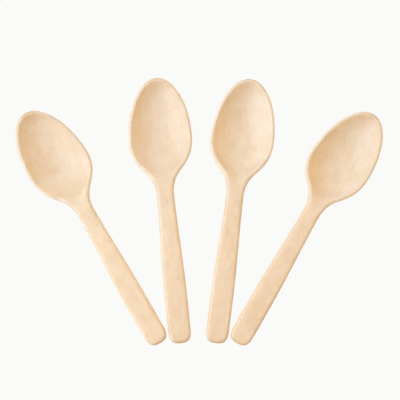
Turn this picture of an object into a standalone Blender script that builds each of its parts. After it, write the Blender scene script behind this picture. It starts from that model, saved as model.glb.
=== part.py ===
# Four pressed wooden spoons laid out as a fan on a table.
# Each spoon is one flat blank of thin wood, pressed to shape: a shallow egg-shaped
# bowl, a soft shoulder, and a flat handle with rounded corners. All four come from
# the same press, so they share one form and differ in place, tone and a slight bend.
# Units are metres, +Z is up, and the table is the plane z = 0.

import math

import bpy

# Outline of the blank, seen from above
SPOON_LENGTH = 0.1400
HANDLE_WIDTH = 0.0119
NECK_WIDTH = 0.0089
BOWL_WIDTH = 0.0334
BOWL_FRONT = 0.0326         # from the widest place of the bowl to its tip
SHOULDER_RADIUS = 0.0221    # outline arc behind the widest place
NECK_FILLET = 0.0172        # hollow arc between the shoulder and the handle
TAPER_START = 0.0268        # the handle narrows from here to the neck
HANDLE_ROUNDING = 0.0069    # length of the rounded-off end of the handle
END_SQUARENESS = 2.8        # 2 gives an elliptical end, more gives a squarer one

# The wood springs a little after pressing, which leans each bowl out of line with its
# handle; the bends are in degrees to the right of the handle's line
BEND_START = 0.0920         # from the end of the handle to where the bend starts
BEND_LENGTH = 0.0120        # over this length the bend grows to its full angle
OUTER_LEFT_BEND = -3.2
INNER_LEFT_BEND = 1.6
INNER_RIGHT_BEND = 0.8
OUTER_RIGHT_BEND = 3.5

# Pressed form, seen from the side
BOWL_DEPTH = 0.0070         # from the rim down to the lowest place of the bowl
BOTTOM_TO_TIP = 0.0300      # from the lowest place of the bowl to its tip
NECK_HEIGHT = 0.0082        # underside of the handle where it meets the neck
NECK_TO_HOLLOW = 0.0035     # from the neck to where the hollow starts
HOLLOW_ENTRY = 0.0045       # over this length the hollow bends down to its full slope
HOLLOW_FULLNESS = 2.2       # 2 is a parabola across the bowl, more is fuller
FRONT_FULLNESS = 3.0        # the same along the bowl, from its lowest place to the tip
TIP_RISE = 0.0008           # the rim lifts towards the tip

# The sheet of wood, whose upper face is rounded off towards a thinner edge
HANDLE_THICKNESS = 0.0024
BOWL_THICKNESS = 0.0015
EDGE_THICKNESS = 0.0007
SIDE_ROUNDING = 0.0016      # width of the rounding along the handle
END_ROUNDING = 0.0024       # the same at the end of the handle
LIP_ROUNDING = 0.0006       # the same round the bowl
LOWER_ROUNDING = 0.0003     # radius of the lower edge
SHARP_ANGLE = 50            # only edges sharper than this, in degrees, are rounded

# Layout of the fan, with leans in degrees from +Y
MIDDLE_GAP = 0.0067         # between the ends of the two inner handles
CORNER_GAP = 0.0011         # between an outer handle and the inner one beside it
OUTER_LEFT_LEAN = 29.2
INNER_LEFT_LEAN = 5.8
INNER_RIGHT_LEAN = 7.2
OUTER_RIGHT_LEAN = 29.5

# Faces across and along the sheet, and round its edge
COLUMNS = 10
END_ROWS = 3
HANDLE_ROWS = 5
SHOULDER_ROWS = 14
FRONT_ROWS = 8
EDGE_RINGS = 3
LOWER_SEGMENTS = 2

WOOD_TONES = {
    "spoon_outer_left": (0.90, 0.69, 0.47),
    "spoon_inner_left": (0.86, 0.64, 0.43),
    "spoon_inner_right": (0.84, 0.61, 0.41),
    "spoon_outer_right": (0.85, 0.62, 0.41),
}
WOOD_ROUGHNESS = 0.55
COLLECTION_NAME = "wooden_cutlery_pack"

# Places along the spoon that follow from the sizes: the widest place of the bowl, the
# neck, where the outline's hollow arc starts, the join of its hollow and round arcs, and
# the start and the lowest place of the pressed hollow
widest = SPOON_LENGTH - BOWL_FRONT
arcs_across = NECK_WIDTH / 2 + NECK_FILLET - (BOWL_WIDTH / 2 - SHOULDER_RADIUS)
arcs_apart = NECK_FILLET + SHOULDER_RADIUS
arcs_along = math.sqrt(arcs_apart ** 2 - arcs_across ** 2)
neck = widest - arcs_along
arc_join = widest - arcs_along * SHOULDER_RADIUS / arcs_apart
hollow_start = neck + NECK_TO_HOLLOW
bottom = SPOON_LENGTH - BOTTOM_TO_TIP


def ease(t):
    t = min(max(t, 0.0), 1.0)
    return t * t * (3 - 2 * t)


def mix(start, end, t):
    return start + (end - start) * t


def round_off(t, squareness):
    """Height of a rounded end above its base, as a share, at the share t of its length."""
    return max(1 - abs(t) ** squareness, 0) ** (1 / squareness)


def side_width(y):
    """Half the outline's width along the straight handle and the shoulders."""
    if y < neck:
        taper = ease((y - TAPER_START) / (neck - TAPER_START))
        return (HANDLE_WIDTH + (NECK_WIDTH - HANDLE_WIDTH) * taper) / 2
    if y < arc_join:
        return NECK_WIDTH / 2 + NECK_FILLET - math.sqrt(NECK_FILLET ** 2 - (y - neck) ** 2)
    round_arc = math.sqrt(SHOULDER_RADIUS ** 2 - min(widest - y, SHOULDER_RADIUS) ** 2)
    return BOWL_WIDTH / 2 - SHOULDER_RADIUS + round_arc


def half_width(y):
    """Half the outline's width at a distance y from the end of the handle."""
    if y < HANDLE_ROUNDING:
        return side_width(y) * round_off(1 - y / HANDLE_ROUNDING, END_SQUARENESS)
    if y < widest:
        return side_width(y)
    return BOWL_WIDTH / 2 * round_off((y - widest) / BOWL_FRONT, 2)


def rim_height(y):
    """Underside of the sheet's edge: straight along the handle, then level over the bowl."""
    slope = NECK_HEIGHT / (neck - LOWER_ROUNDING)
    if y < neck:
        return slope * (y - LOWER_ROUNDING)
    if y < bottom:
        t = (y - neck) / (bottom - neck)
        eased = NECK_HEIGHT + (BOWL_DEPTH - NECK_HEIGHT) * ease(t)
        return eased + slope * (y - neck) * (1 - t) ** 2
    return BOWL_DEPTH + TIP_RISE * ((y - bottom) / BOTTOM_TO_TIP) ** 2


def hollow_depth(y):
    """Depth of the pressed hollow along the middle of the spoon.

    It bends down over the entry, then its slope falls evenly to nothing at the bottom.
    """
    if y < hollow_start:
        return 0.0
    entry_end = hollow_start + HOLLOW_ENTRY
    steepest = 2 * BOWL_DEPTH / (bottom - hollow_start)
    if y < entry_end:
        return steepest * (y - hollow_start) ** 2 / (2 * HOLLOW_ENTRY)
    if y < bottom:
        return BOWL_DEPTH - steepest * (bottom - y) ** 2 / (2 * (bottom - entry_end))
    return BOWL_DEPTH * max(1 - ((y - bottom) / BOTTOM_TO_TIP) ** FRONT_FULLNESS, 0)


def underside_height(x, y):
    half = half_width(y)
    if half < abs(x) + 1e-9:
        return rim_height(y)
    return rim_height(y) - hollow_depth(y) * (1 - (abs(x) / half) ** HOLLOW_FULLNESS)


def bent_row(u, bend):
    """A grid point in a round end, across and along it as shares of its half width and length.

    The row is straight where bend is 0 and follows the rounded edge where it is 1, so
    the grid has no point where its columns meet.
    """
    across = u * math.sqrt(1 - bend * bend / 2)
    along = bend * math.sqrt(1 - u * u / 2)
    room = math.sqrt(max(1 - along * along, 0))
    return (across / room if room > 1e-6 else 0.0), along


def handle_to_bowl(on_handle, on_bowl, y):
    """A size that changes over the shoulders, from the neck to the widest place of the bowl."""
    return mix(on_handle, on_bowl, ease((y - neck) / (widest - neck)))


def plan_point(u, row, inset):
    """Place of a grid point seen from above, before the bowl's bend.

    u runs from -1 to 1 across the sheet, and inset tells how far inside the outline the
    grid's edge lies, as a share of the rounding.
    """
    handle_row = row - END_ROWS
    shoulder_row = handle_row - HANDLE_ROWS
    front_row = shoulder_row - SHOULDER_ROWS
    if handle_row < 0:
        share, along = bent_row(u, -handle_row / END_ROWS)
        half = (HANDLE_WIDTH / 2 - SIDE_ROUNDING * inset) * round_off(along, END_SQUARENESS)
        return share * half, HANDLE_ROUNDING - along * (HANDLE_ROUNDING - END_ROUNDING * inset)
    if front_row >= 0:
        share, along = bent_row(u, front_row / FRONT_ROWS)
        half = (BOWL_WIDTH / 2 - LIP_ROUNDING * inset) * round_off(along, 2)
        return share * half, widest + along * (BOWL_FRONT - LIP_ROUNDING * inset)
    if shoulder_row < 0:
        y = mix(HANDLE_ROUNDING, neck, handle_row / HANDLE_ROWS)
    else:
        y = mix(neck, widest, shoulder_row / SHOULDER_ROWS)
    step = 1e-6
    flare = (side_width(y + step) - side_width(y - step)) / (2 * step)
    rounding = handle_to_bowl(SIDE_ROUNDING, LIP_ROUNDING, y)
    return u * (side_width(y) - rounding * inset * math.sqrt(1 + flare ** 2)), y


def sideways_shift(y, bend):
    """How far a point at y lies to the right of the handle's line when the bowl is bent."""
    past = max(y - BEND_START, 0)
    if past < BEND_LENGTH:
        return math.tan(bend) * past ** 2 / (2 * BEND_LENGTH)
    return math.tan(bend) * (past - BEND_LENGTH / 2)


def thickness(y, inset):
    """The sheet's thickness at y, at a share of the rounding inside its edge."""
    full = handle_to_bowl(HANDLE_THICKNESS, BOWL_THICKNESS, y)
    return mix(min(EDGE_THICKNESS, full), full, round_off(1 - inset, 2))


def clear_scene():
    for old in list(bpy.data.objects):
        bpy.data.objects.remove(old, do_unlink=True)


def wood_material(name, tone):
    material = bpy.data.materials.new(name)
    material.use_nodes = True
    surface = material.node_tree.nodes["Principled BSDF"]
    surface.inputs["Base Color"].default_value = (*tone, 1)
    surface.inputs["Roughness"].default_value = WOOD_ROUGHNESS
    surface.inputs["Metallic"].default_value = 0
    return material


def flat_grid(name, rows):
    """A grid with rings of faces round it, each ring's points one step higher than the last."""
    bpy.ops.mesh.primitive_grid_add(x_subdivisions=COLUMNS, y_subdivisions=rows, size=2)
    spoon = bpy.context.object
    spoon.name = name
    spoon.data.name = name
    bpy.ops.object.mode_set(mode="EDIT")
    bpy.ops.mesh.select_all(action="SELECT")
    bpy.ops.mesh.region_to_loop()
    for ring in range(EDGE_RINGS):
        bpy.ops.mesh.extrude_edges_move(TRANSFORM_OT_translate={"value": (0, 0, 1)})
    bpy.ops.object.mode_set(mode="OBJECT")
    return spoon


def press_spoon(name, bend):
    """One spoon: the pressed underside, then the sheet's thickness and its lower rounded edge."""
    rows = END_ROWS + HANDLE_ROWS + SHOULDER_ROWS + FRONT_ROWS
    spoon = flat_grid(name, rows)
    thickest = max(HANDLE_THICKNESS, BOWL_THICKNESS)
    share = spoon.vertex_groups.new(name="thickness")
    for point in spoon.data.vertices:
        inset = 1 - math.sin(math.pi / 2 * point.co.z / EDGE_RINGS)
        x, y = plan_point(point.co.x, (point.co.y + 1) / 2 * rows, inset)
        point.co = (x + sideways_shift(y, bend), y, underside_height(x, y))
        share.add([point.index], thickness(y, inset) / thickest, "REPLACE")
    spoon.data.shade_smooth()
    sheet = spoon.modifiers.new("sheet thickness", "SOLIDIFY")
    sheet.thickness = thickest
    sheet.offset = 1
    sheet.use_even_offset = True
    sheet.vertex_group = share.name
    edge = spoon.modifiers.new("lower edge", "BEVEL")
    edge.limit_method = "ANGLE"
    edge.angle_limit = math.radians(SHARP_ANGLE)
    edge.width = min(LOWER_ROUNDING, EDGE_THICKNESS / 2.2)
    edge.segments = LOWER_SEGMENTS
    return spoon


def corner_reach(lean):
    """How far a handle's rounded end reaches sideways past its middle when it leans away."""
    steps = 60
    turn = math.radians(lean)
    ys = [HANDLE_ROUNDING * i / steps for i in range(steps + 1)]
    return max(half_width(y) * math.cos(turn) - y * math.sin(turn) for y in ys)


def fan_layout():
    """Each spoon's name, bend, place of its handle's end along X, and turn about Z."""
    layout = []
    inner_place = (MIDDLE_GAP + HANDLE_WIDTH) / 2
    for side, word, inner_lean, outer_lean, inner_bend, outer_bend in (
        (-1, "left", INNER_LEFT_LEAN, OUTER_LEFT_LEAN, INNER_LEFT_BEND, OUTER_LEFT_BEND),
        (1, "right", INNER_RIGHT_LEAN, OUTER_RIGHT_LEAN, INNER_RIGHT_BEND, OUTER_RIGHT_BEND),
    ):
        apart = HANDLE_WIDTH / 2 + CORNER_GAP + corner_reach(outer_lean - inner_lean)
        outer_place = inner_place + apart / math.cos(math.radians(inner_lean))
        for name, bend, place, lean in (
            ("spoon_inner_" + word, inner_bend, inner_place, inner_lean),
            ("spoon_outer_" + word, outer_bend, outer_place, outer_lean),
        ):
            layout.append((name, math.radians(bend), side * place, -side * math.radians(lean)))
    return layout


def stand_on_origin(fan, spoons):
    """Moves the fan so that its bounding box stands on the origin."""
    bpy.context.view_layer.update()
    graph = bpy.context.evaluated_depsgraph_get()
    corners = []
    for spoon in spoons:
        shape = spoon.evaluated_get(graph)
        corners += [spoon.matrix_world @ point.co for point in shape.data.vertices]
    lows = [min(corner[axis] for corner in corners) for axis in range(3)]
    highs = [max(corner[axis] for corner in corners) for axis in range(3)]
    fan.location = (-(lows[0] + highs[0]) / 2, -(lows[1] + highs[1]) / 2, -lows[2])


def build():
    clear_scene()
    collection = bpy.data.collections.new(COLLECTION_NAME)
    bpy.context.scene.collection.children.link(collection)
    fan = bpy.data.objects.new("fan", None)
    collection.objects.link(fan)
    spoons = []
    for name, bend, place, turn in fan_layout():
        spoon = press_spoon(name, bend)
        for old_home in list(spoon.users_collection):
            old_home.objects.unlink(spoon)
        collection.objects.link(spoon)
        spoon.data.materials.append(wood_material(name + "_wood", WOOD_TONES[name]))
        spoon.parent = fan
        spoon.location = (place, 0, 0)
        spoon.rotation_euler = (0, 0, turn)
        spoons.append(spoon)
    stand_on_origin(fan, spoons)


build()
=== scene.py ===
import math

import bpy
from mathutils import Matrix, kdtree


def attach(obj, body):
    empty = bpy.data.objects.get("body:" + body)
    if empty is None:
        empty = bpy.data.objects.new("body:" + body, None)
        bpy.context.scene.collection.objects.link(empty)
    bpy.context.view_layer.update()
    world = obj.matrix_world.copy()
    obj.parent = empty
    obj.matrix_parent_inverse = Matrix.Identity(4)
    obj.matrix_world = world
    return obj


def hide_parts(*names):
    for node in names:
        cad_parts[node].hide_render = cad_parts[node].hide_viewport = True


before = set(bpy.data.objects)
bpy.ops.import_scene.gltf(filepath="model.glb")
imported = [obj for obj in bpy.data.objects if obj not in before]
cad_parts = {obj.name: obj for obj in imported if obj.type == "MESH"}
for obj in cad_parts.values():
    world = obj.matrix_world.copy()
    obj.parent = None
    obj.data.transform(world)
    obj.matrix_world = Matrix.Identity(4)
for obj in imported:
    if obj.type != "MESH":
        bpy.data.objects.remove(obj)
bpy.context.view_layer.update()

# Four pressed wooden spoons fanned out on a white table, seen from straight above.
# Lengths are in metres, unless a note gives another unit.

spoons = {
    "mergeDistance": 0.00001,
    "quadAngle": 60,  # degrees: how far out of flat or square two joined triangles may be
    "fineLevels": 2,  # subdivisions of the pressed sheet
    "uprightNormal": 0.35,  # the sides of the sheet have normals less upright than this
    "rimUnit": 0.001,  # distances from the sides are marked in millimetres
    "handleEnd": -0.069,  # where the handles end, along Y
    "fan": {  # place of the handle's end along X, and turn about Z in degrees
        "spoon_outer_left": (-0.0207, 29.2),
        "spoon_inner_left": (-0.0097, 5.8),
        "spoon_inner_right": (0.0089, -7.2),
        "spoon_outer_right": (0.0200, -29.5),
    },
}


def deselectAll():
    for each in bpy.context.selected_objects:
        each.select_set(False)


def activate(piece):
    deselectAll()
    piece.hide_set(False)
    piece.select_set(True)
    bpy.context.view_layer.objects.active = piece


def fineSpoon(spoon):
    # A merged copy of the solid, back to four-sided faces, then smoothed
    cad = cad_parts[spoon]
    piece = cad.copy()
    piece.data = cad.data.copy()
    piece.name = spoon.replace("spoon_", "wood_")
    piece.parent = None
    piece.data.materials.clear()
    for key in list(piece.keys()):  # the frame's marks stay with the solid
        del piece[key]
    bpy.context.collection.objects.link(piece)
    activate(piece)
    bpy.ops.object.mode_set(mode="EDIT")
    bpy.ops.mesh.select_all(action="SELECT")
    bpy.ops.mesh.remove_doubles(threshold=spoons["mergeDistance"])
    quadAngle = math.radians(spoons["quadAngle"])
    bpy.ops.mesh.tris_convert_to_quads(face_threshold=quadAngle, shape_threshold=quadAngle)
    bpy.ops.object.mode_set(mode="OBJECT")
    fine = piece.modifiers.new("fine surface", "SUBSURF")
    fine.levels = spoons["fineLevels"]
    fine.render_levels = spoons["fineLevels"]
    bpy.ops.object.modifier_apply(modifier=fine.name)
    bpy.ops.object.shade_smooth()
    print(piece.name, "has", len(piece.data.polygons), "faces")
    return piece


def markRim(piece):
    # Each point's distance from the upright sides of the sheet, for the wood's finish
    points = piece.data.vertices
    sides = [point for point in points if abs(point.normal.z) < spoons["uprightNormal"]]
    tree = kdtree.KDTree(len(sides))
    for index, point in enumerate(sides):
        tree.insert(point.co, index)
    tree.balance()
    distances = [tree.find(point.co)[2] / spoons["rimUnit"] for point in points]
    rim = piece.data.attributes.new("rim", "FLOAT", "POINT")
    rim.data.foreach_set("value", distances)
    print(piece.name, "has", len(sides), "points on its sides")


wood = {
    "tones": {  # each spoon drifts from one tone at the handle to another at the bowl
        "spoon_outer_left": ((0.916, 0.709, 0.483), (0.827, 0.634, 0.430)),
        "spoon_inner_left": ((0.877, 0.662, 0.441), (0.850, 0.660, 0.460)),
        "spoon_inner_right": ((0.867, 0.650, 0.428), (0.862, 0.672, 0.468)),
        "spoon_outer_right": ((0.861, 0.638, 0.413), (0.870, 0.678, 0.474)),
    },
    "drift": (0.055, 0.105),  # from the handle's end: where the drift starts and ends
    "shade": (0.93, 0.87, 0.78),  # the darkest wood between the pores, as a share of the tone
    "glow": (1.05, 1.09, 1.14),  # and the palest
    "endGrainAndShade": (0.84, 0.66, 0.42),  # darker end grain, and painted shade, on what faces along the spoon
    "endGrainAndShadeFacing": (0.35, 0.80),  # how far it faces that way: no tint, and the full tint
    "cutEdgeAndShade": (0.86, 0.76, 0.60),  # darker cut sides, and painted shade on the steep rounded edges
    "cutEdgeAndShadeFacing": (0.72, 0.30),  # how far they face up: no tint, and the full tint
    "pore": (0.48, 0.20, 0.06),
    "roughness": (0.44, 0.58),  # of the faces: the smoothest wood, and the roughest
    "burnished": 0.38,  # roughness of the rounded edges
    "burnishWidth": (0.9, 1.7),  # millimetres in from the sides: full, and none
    "specular": 0.5,
    "bumpHeight": 0.00006,
    "bumpStrength": 0.35,
    "fibreHeight": 0.6,  # height of the fibres, as a share of the streaks' height
    "poreDepth": 3.0,  # depth of the pores, in the same measure
    # Each pattern's waves a metre across the spoon and along it, and its share of the tone
    "patterns": {
        "broad tone": (45, 14, 0.30),
        "clouds": (190, 140, 0.44),
        "streaks": (1300, 50, 0.30),
        "fibres": (2600, 260, 0.24),
        "speckle": (1500, 1200, 0.36),
    },
    "patternDetail": 3.0,
    "patternRoughness": 0.55,
    "sheetShift": (7, 3, 5),  # along X, Y and Z, as multiples of the handle's place along X
    # Cells a metre across and along, share with a pore, its size in a cell, and its depth of colour
    "pores": (460, 210, 0.34, 0.085, 0.60),
    "pinPores": (950, 400, 0.40, 0.14, 0.42),
    "smallestPore": 0.5,  # as a share of the size
    "poreCore": 0.55,  # share of a pore's radius that is fully dark
}


def addNode(nodes, kind, values=None, **settings):
    node = nodes.new("ShaderNode" + kind)
    for name, value in settings.items():
        setattr(node, name, value)
    for name, value in (values or {}).items():
        node.inputs[name].default_value = value
    return node


def addMath(tree, operation, first, second=None, third=None):
    node = addNode(tree.nodes, "Math", operation=operation)
    for socket, value in zip(node.inputs, (first, second, third)):
        if value is None:
            continue
        if isinstance(value, (int, float)):
            socket.default_value = value
        else:
            tree.links.new(value, socket)
    return node.outputs[0]


def addRamp(tree, value, low, high):
    # Smooth step from 0 at low to 1 at high
    limits = {"From Min": low, "From Max": high}
    node = addNode(tree.nodes, "MapRange", limits, interpolation_type="SMOOTHSTEP")
    tree.links.new(value, node.inputs["Value"])
    return node.outputs["Result"]


def addTint(tree, share, colour, tint, blend="MIX"):
    node = addNode(tree.nodes, "Mix", data_type="RGBA", blend_type=blend)
    sockets = {socket.identifier: socket for socket in node.inputs}
    tree.links.new(share, sockets["Factor_Float"])
    for name, value in (("A_Color", colour), ("B_Color", tint)):
        if isinstance(value, tuple):
            sockets[name].default_value = (*value, 1)
        else:
            tree.links.new(value, sockets[name])
    return [socket for socket in node.outputs if socket.identifier == "Result_Color"][0]


def scaled(tree, vector, across, along):
    node = addNode(tree.nodes, "Mapping", {"Scale": (across, along, across)})
    tree.links.new(vector, node.inputs["Vector"])
    return node.outputs[0]


def addPores(tree, vector, across, along, share, size, depth):
    # A dot in some of the cells, some dots larger than others
    cells = addNode(tree.nodes, "TexVoronoi", {"Scale": 1.0}, feature="F1")
    tree.links.new(scaled(tree, vector, across, along), cells.inputs["Vector"])
    pick = addNode(tree.nodes, "SeparateColor")
    tree.links.new(cells.outputs["Color"], pick.inputs[0])
    chosen = addMath(tree, "LESS_THAN", pick.outputs[0], share)
    smallest = size * wood["smallestPore"]
    radius = addMath(tree, "MULTIPLY_ADD", pick.outputs[1], size, smallest)
    reach = addMath(tree, "DIVIDE", cells.outputs["Distance"], radius)
    dot = addRamp(tree, reach, 1.0, wood["poreCore"])
    return addMath(tree, "MULTIPLY", addMath(tree, "MULTIPLY", dot, chosen), depth)


def grainVectors(tree, place, turn):
    # The grain runs along each spoon, so the pattern is turned to its handle
    coordinates = addNode(tree.nodes, "TexCoord")
    setting = {
        "Location": (place, spoons["handleEnd"], 0),
        "Rotation": (0, 0, math.radians(turn)),
    }
    own = addNode(tree.nodes, "Mapping", setting, vector_type="TEXTURE")
    tree.links.new(coordinates.outputs["Object"], own.inputs["Vector"])
    # Each spoon is cut from another place in the sheet
    shift = tuple(place * times for times in wood["sheetShift"])
    sheet = addNode(tree.nodes, "Mapping", {"Location": shift})
    tree.links.new(own.outputs[0], sheet.inputs["Vector"])
    return own.outputs[0], sheet.outputs[0]


def addWaves(tree, sheet):
    # One wave from -1 to 1 for each pattern
    setting = {
        "Scale": 1.0,
        "Detail": wood["patternDetail"],
        "Roughness": wood["patternRoughness"],
    }
    waves = {}
    for name, (across, along, _) in wood["patterns"].items():
        noise = addNode(tree.nodes, "TexNoise", setting)
        tree.links.new(scaled(tree, sheet, across, along), noise.inputs["Vector"])
        waves[name] = addMath(tree, "MULTIPLY_ADD", noise.outputs[0], 2.0, -1.0)
    return waves


def grainColour(tree, spoon, own, waves):
    # From the darkest wood to the palest, while the tone drifts along the spoon
    level = 0.5  # halfway, before the patterns
    for name, (_, _, share) in wood["patterns"].items():
        level = addMath(tree, "MULTIPLY_ADD", waves[name], share, level)
    level = addRamp(tree, level, 0.0, 1.0)
    position = addNode(tree.nodes, "SeparateXYZ")
    tree.links.new(own, position.inputs[0])
    drift = addRamp(tree, position.outputs["Y"], *wood["drift"])
    limits = []
    for strength in (wood["shade"], wood["glow"]):
        atHandle, atBowl = (
            tuple(channel * share for channel, share in zip(tone, strength))
            for tone in wood["tones"][spoon]
        )
        limits.append(addTint(tree, drift, atHandle, atBowl))
    return addTint(tree, level, *limits)


def edgeShares(tree, turn):
    # Where the surface stands upright, and where it faces along the spoon: the shares that tint the
    # cut edges and end grain and paint shade on them
    shape = addNode(tree.nodes, "NewGeometry")
    turned = {"Rotation": (0, 0, math.radians(-turn))}
    facing = addNode(tree.nodes, "Mapping", turned, vector_type="VECTOR")
    tree.links.new(shape.outputs["Normal"], facing.inputs["Vector"])
    parts = addNode(tree.nodes, "SeparateXYZ")
    tree.links.new(facing.outputs[0], parts.inputs[0])
    up = addMath(tree, "ABSOLUTE", parts.outputs["Z"])
    lengthwise = addMath(tree, "ABSOLUTE", parts.outputs["Y"])
    upright = addRamp(tree, up, *wood["cutEdgeAndShadeFacing"])
    crossing = addRamp(tree, lengthwise, *wood["endGrainAndShadeFacing"])
    return upright, crossing


def addHoles(tree, sheet, upright):
    # Larger pores and pin pores, kept off the upright sides
    larger = addPores(tree, sheet, *wood["pores"])
    pins = addPores(tree, sheet, *wood["pinPores"])
    flat = addMath(tree, "SUBTRACT", 1.0, upright)
    return addMath(tree, "MULTIPLY", addMath(tree, "MAXIMUM", larger, pins), flat)


def woodRoughness(tree, clouds):
    # The rounded edges are glossier than the faces
    rim = addNode(tree.nodes, "Attribute", attribute_name="rim")
    fullWidth, endWidth = wood["burnishWidth"]
    burnish = addRamp(tree, rim.outputs["Fac"], endWidth, fullWidth)
    smooth, rough = wood["roughness"]
    faces = addMath(tree, "MULTIPLY_ADD", clouds, (rough - smooth) / 2, (rough + smooth) / 2)
    excess = addMath(tree, "SUBTRACT", faces, wood["burnished"])
    return addMath(tree, "SUBTRACT", faces, addMath(tree, "MULTIPLY", burnish, excess))


def grainRelief(tree, waves, holes):
    # Streaks and fibres stand up, and the pores are sunk
    fibres = addMath(tree, "MULTIPLY", waves["fibres"], wood["fibreHeight"])
    height = addMath(tree, "ADD", waves["streaks"], fibres)
    sunk = addMath(tree, "MULTIPLY", holes, wood["poreDepth"])
    height = addMath(tree, "SUBTRACT", height, sunk)
    setting = {"Strength": wood["bumpStrength"], "Distance": wood["bumpHeight"]}
    bump = addNode(tree.nodes, "Bump", setting)
    tree.links.new(height, bump.inputs["Height"])
    return bump.outputs[0]


def woodMaterial(spoon):
    place, turn = spoons["fan"][spoon]
    material = bpy.data.materials.new(spoon.replace("spoon_", "") + " wood")
    material.use_nodes = True
    tree = material.node_tree
    surface = tree.nodes["Principled BSDF"]

    own, sheet = grainVectors(tree, place, turn)
    waves = addWaves(tree, sheet)
    upright, crossing = edgeShares(tree, turn)
    holes = addHoles(tree, sheet, upright)

    colour = grainColour(tree, spoon, own, waves)
    colour = addTint(tree, holes, colour, wood["pore"])
    # The upright sides are darker: partly the cut edges' own colour, partly painted shade on the
    # steep edges
    colour = addTint(tree, upright, colour, wood["cutEdgeAndShade"], "MULTIPLY")
    # What faces along the spoon is darker: partly the end grain's own colour, partly painted shade,
    # also on the bowl's slopes
    colour = addTint(tree, crossing, colour, wood["endGrainAndShade"], "MULTIPLY")

    tree.links.new(colour, surface.inputs["Base Color"])
    tree.links.new(woodRoughness(tree, waves["clouds"]), surface.inputs["Roughness"])
    tree.links.new(grainRelief(tree, waves, holes), surface.inputs["Normal"])
    surface.inputs["Specular IOR Level"].default_value = wood["specular"]
    print(material.name, "is mixed from", len(tree.nodes), "nodes")
    return material


for node in spoons["fan"]:
    piece = fineSpoon(node)
    markRim(piece)
    piece.data.materials.append(woodMaterial(node))
    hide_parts(node)
    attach(piece, "root")

camera = {
    "lens": 200,  # millimetres
    "sensor": 36,  # millimetres
    "frameWidth": 0.21005,  # width that the photograph's frame takes in
    "height": 0.005,  # the plane that this width is measured at
    "centre": (0.0004, 0.0064),
    "clipEnd": 10,
}


def makeCamera():
    eye = bpy.data.cameras.new("camera")
    eye.lens = camera["lens"]
    eye.sensor_width = camera["sensor"]
    eye.clip_end = camera["clipEnd"]
    distance = camera["frameWidth"] * camera["lens"] / camera["sensor"]
    holder = bpy.data.objects.new("camera", eye)
    holder.location = (*camera["centre"], camera["height"] + distance)
    bpy.context.collection.objects.link(holder)
    bpy.context.scene.camera = holder
    print("the camera looks straight down from", round(distance, 3), "metres")


makeCamera()

table = {
    "size": 3.0,
    "drop": 0.0002,  # how far the table lies below the spoons
    "white": (0.956, 0.956, 0.939),
    "glow": 1.0,
}


def makeTable():
    # It glows evenly, so the spoons throw no shadow on it
    deselectAll()
    bpy.ops.mesh.primitive_plane_add(size=table["size"], location=(0, 0, -table["drop"]))
    floor = bpy.context.object
    floor.name = "table"
    material = bpy.data.materials.new("white table")
    material.use_nodes = True
    surface = material.node_tree.nodes["Principled BSDF"]
    surface.inputs["Base Color"].default_value = (0, 0, 0, 1)
    surface.inputs["Specular IOR Level"].default_value = 0
    surface.inputs["Emission Color"].default_value = (*table["white"], 1)
    surface.inputs["Emission Strength"].default_value = table["glow"]
    floor.data.materials.append(material)
    print("the table is laid")


makeTable()

# Soft square panels, all turned towards the middle of the fan. Their powers and colours were
# fitted to the photograph's shading by least squares, with each panel rendered alone.
lights = {
    "size": 0.7,
    "panels": {  # place, power in watts, and colour
        "key": ((-0.771, 0.0, 0.919), 9.36, (0.840, 0.903, 1.0)),
        "left": ((-0.977, -0.355, 0.6), 4.94, (0.412, 0.697, 1.0)),
        "top": ((0.0, 0.0, 1.2), 3.85, (1.0, 0.875, 0.845)),
        "far": ((0.0, 1.128, 0.41), 6.61, (0.799, 0.881, 1.0)),
        "near left": ((-0.797, -0.797, 0.41), 3.68, (1.0, 0.845, 0.747)),
        "right": ((1.128, 0.0, 0.41), 6.49, (1.0, 0.737, 0.348)),
    },
}


def makeLight(name, place, power, colour):
    lamp = bpy.data.lights.new(name, "AREA")
    lamp.shape = "SQUARE"
    lamp.size = lights["size"]
    lamp.energy = power
    lamp.color = colour
    holder = bpy.data.objects.new(name, lamp)
    holder.location = place
    holder.rotation_euler = (-holder.location).to_track_quat("-Z", "Y").to_euler()
    bpy.context.collection.objects.link(holder)


for name, panel in lights["panels"].items():
    makeLight(name, *panel)
print(len(lights["panels"]), "panels light the spoons")

room = {"light": (0.02, 0.02, 0.02)}


def makeRoom():
    # The room adds a little light, but the camera sees a backdrop as white as the table
    world = bpy.data.worlds.new("studio")
    bpy.context.scene.world = world
    world.use_nodes = True
    nodes, links = world.node_tree.nodes, world.node_tree.links
    glow = nodes["Background"]
    glow.inputs["Color"].default_value = (*room["light"], 1)
    backdrop = addNode(nodes, "Background", {"Color": (*table["white"], 1)})
    ray = addNode(nodes, "LightPath")
    either = addNode(nodes, "MixShader")
    links.new(ray.outputs["Is Camera Ray"], either.inputs["Fac"])
    links.new(glow.outputs[0], either.inputs[1])
    links.new(backdrop.outputs[0], either.inputs[2])
    links.new(either.outputs[0], nodes["World Output"].inputs["Surface"])
    bpy.context.scene.view_settings.view_transform = "Standard"
    print("the room is white")


makeRoom()
